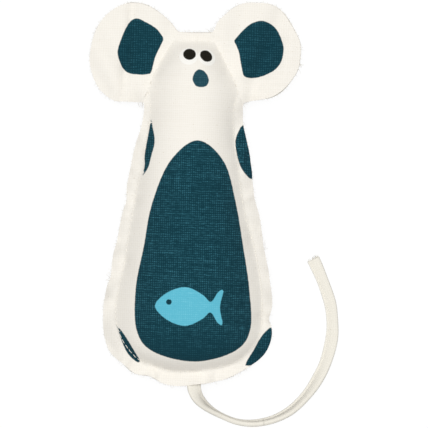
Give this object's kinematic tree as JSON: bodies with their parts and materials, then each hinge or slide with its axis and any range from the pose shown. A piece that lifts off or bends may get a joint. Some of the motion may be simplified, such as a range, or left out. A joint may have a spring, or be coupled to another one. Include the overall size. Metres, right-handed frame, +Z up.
{
  "type": "catnip mouse",
  "caption": "Flat stuffed cloth mouse with round floppy ears, a printed belly and a tape tail, filled with fibre and dried catnip for a cat to bat, bite and carry.",
  "frame": {"origin": "on the surface that the toy lies on, under the middle of its cloth outline", "axes": "+Z up, out of the printed front; +Y from the tail end to the head; +X to the right as seen from the front"},
  "size_m": [0.1008, 0.1656, 0.0262],
  "materials": {
    "printed_canvas": "natural cotton canvas with dark teal print",
    "canvas": "natural unprinted cotton canvas",
    "cotton_tape": "folded and stitched cotton tape",
    "sewing_thread": "twisted polyester sewing thread",
    "fibre_fill": "loose white polyester fibre",
    "dried_catnip": "crumbled dried leaf"
  },
  "bodies": {
    "stuffed_body": {"back_panel": "canvas", "back_stuffing": "fibre_fill", "catnip_fill": "dried_catnip", "front_stuffing": "fibre_fill", "front_panel": "printed_canvas", "seam_needle_thread": "sewing_thread", "seam_bobbin_thread": "sewing_thread", "closing_needle_thread": "sewing_thread", "closing_bobbin_thread": "sewing_thread", "tail_root": "cotton_tape", "tail_root_thread": "sewing_thread"},
    "left_ear": {"left_ear_front": "printed_canvas", "left_ear_back": "canvas"},
    "right_ear": {"right_ear_front": "printed_canvas", "right_ear_back": "canvas"},
    "tail_loop": {"tail_middle": "cotton_tape", "tail_middle_thread": "sewing_thread"},
    "tail_end": {"tail_tip": "cotton_tape", "tail_tip_thread": "sewing_thread"}
  },
  "joints": [
    {"name": "left_ear_fold", "type": "hinge", "parent": "stuffed_body", "child": "left_ear", "pos_m": [-0.01315, 0.04935, 0.01135], "axis": [0.4218, 0.9067, 0], "range_deg": [-90, 90], "stiffness_Nm_per_rad": 0.002},
    {"name": "right_ear_fold", "type": "hinge", "parent": "stuffed_body", "child": "right_ear", "pos_m": [0.01315, 0.04935, 0.01135], "axis": [0.4218, -0.9067, 0], "range_deg": [-90, 90], "stiffness_Nm_per_rad": 0.002},
    {"name": "tail_swing", "type": "hinge", "parent": "stuffed_body", "child": "tail_loop", "pos_m": [0.0142, -0.0866, 0.003], "axis": [0, 0, 1], "range_deg": [-75, 10]},
    {"name": "tail_curl", "type": "hinge", "parent": "tail_loop", "child": "tail_end", "pos_m": [0.0437, -0.08, 0.0024], "axis": [0, 0, 1], "range_deg": [-75, 10]}
  ]
}
